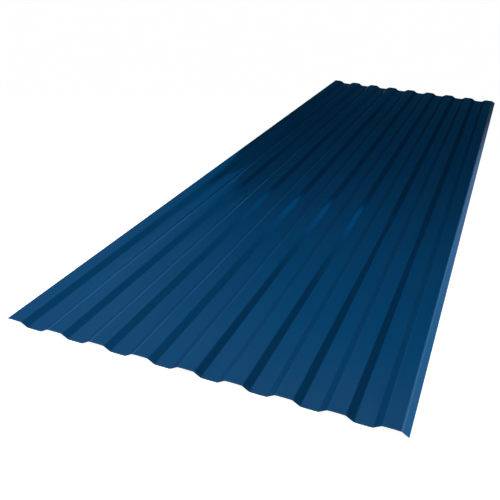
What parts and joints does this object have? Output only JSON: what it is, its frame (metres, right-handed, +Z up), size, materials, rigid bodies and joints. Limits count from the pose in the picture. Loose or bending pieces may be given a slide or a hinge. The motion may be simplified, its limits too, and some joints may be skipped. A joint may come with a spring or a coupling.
{
  "type": "corrugated metal sheet",
  "caption": "Trapezoidal corrugated steel sheet, painted blue, with a flat crest edge and a sloped lip edge that lap side by side for roofs, walls and fences.",
  "frame": {"origin": "On the plane that the troughs rest on, under the middle of the sheet", "axes": "+Z up, out of the ribs; +Y along the ribs, the sheet's length; +X across the sheet, from the flat crest edge to the lip edge"},
  "size_m": [0.9336, 3, 0.0115],
  "materials": {
    "blue_paint": "gloss"
  },
  "bodies": {
    "root": {"corrugated_sheet": "blue_paint"}
  },
  "joints": []
}
